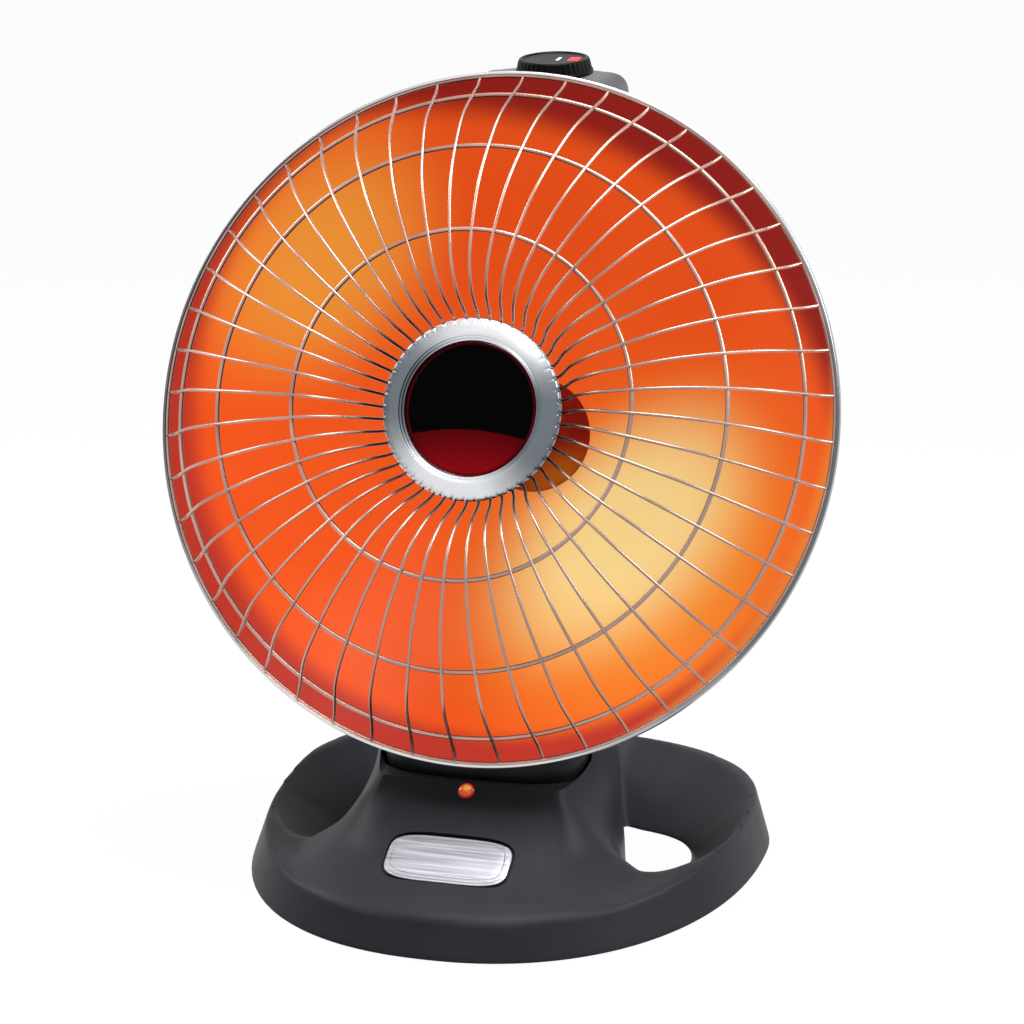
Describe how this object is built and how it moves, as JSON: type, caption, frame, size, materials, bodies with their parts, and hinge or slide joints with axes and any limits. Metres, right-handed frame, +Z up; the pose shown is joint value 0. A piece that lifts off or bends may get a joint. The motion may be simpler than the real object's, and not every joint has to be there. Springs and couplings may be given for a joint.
{
  "type": "parabolic heater",
  "caption": "Free-standing parabolic heater: tilting dish with domed wire grille, central ceramic element and rear housing with top knob, on a round base with two open hand holes.",
  "frame": {"origin": "on the floor, under the centre of the base's footprint", "axes": "+Z up, -Y towards the front, where the dish looks, +X to the right of a viewer who faces the front"},
  "size_m": [0.414, 0.32, 0.49],
  "materials": {
    "base_plastic": "fine grained dark grey moulding",
    "gloss_black": "gloss black moulding",
    "dark_plastic": "matt black moulding",
    "rubber": "matt black rubber",
    "copper_dish": "polished copper-coloured reflector that glows orange",
    "bright_steel": "bright plated band and hub",
    "grille_wire": "bright plated welded wire",
    "brushed_steel": "brushed",
    "disc_enamel": "plain black over deep red, gloss",
    "ceramic": "unglazed brown ceramic",
    "hot_wire": "glowing resistance wire",
    "zinc_steel": "zinc-plated sheet and bar",
    "brass": "plain brass",
    "lamp_amber": "clear amber, lit",
    "lamp_glass": "clear neon lamp",
    "fibre": "pressed friction fibre",
    "bakelite": "dark brown phenolic"
  },
  "bodies": {
    "base": {"base_shell": "base_plastic", "base_pan": "zinc_steel", "tip_switch_body": "dark_plastic", "tip_switch_spring": "zinc_steel", "terminal_block": "bakelite", "cord_inlet": "rubber", "trim_plate": "brushed_steel", "power_light_lens": "lamp_amber", "power_light_lamp": "lamp_glass", "tilt_shaft": "zinc_steel", "friction_washer_right": "fibre", "friction_washer_left": "fibre", "foot_front_right": "rubber", "foot_front_left": "rubber", "foot_rear_right": "rubber", "foot_rear_left": "rubber"},
    "tip_plunger": {"tip_switch_plunger": "dark_plastic"},
    "head": {"reflector": "copper_dish", "rim_band": "bright_steel", "wire_grille": "grille_wire", "hub_cup": "bright_steel", "hub_bezel": "brushed_steel", "hub_disc": "disc_enamel", "element_socket": "ceramic", "element_pin_right": "brass", "element_pin_left": "brass", "element_post": "zinc_steel", "element_core": "ceramic", "element_coil": "hot_wire", "element_cap": "ceramic", "element_bracket": "zinc_steel", "thermal_cutout": "brass", "rear_housing": "gloss_black", "control_housing": "gloss_black", "thermostat_body": "zinc_steel"},
    "knob": {"thermostat_stem": "brass", "thermostat_knob": "gloss_black"}
  },
  "joints": [
    {"name": "head_tilt", "type": "hinge", "parent": "base", "child": "head", "pos_m": [0, 0, 0.084], "axis": [1, 0, 0], "range_deg": [-18, 9]},
    {"name": "knob_turn", "type": "hinge", "parent": "head", "child": "knob", "pos_m": [0.009, 0.09796, 0.47695], "axis": [0, -0.1219, 0.9925], "range_deg": [0, 270]},
    {"name": "plunger_slide", "type": "slide", "parent": "base", "child": "tip_plunger", "axis": [0, 0, -1], "range_m": [0, 0.004], "stiffness_N_per_m": 50, "springref_m": 0.008, "deforming": ["tip_switch_spring"]}
  ]
}
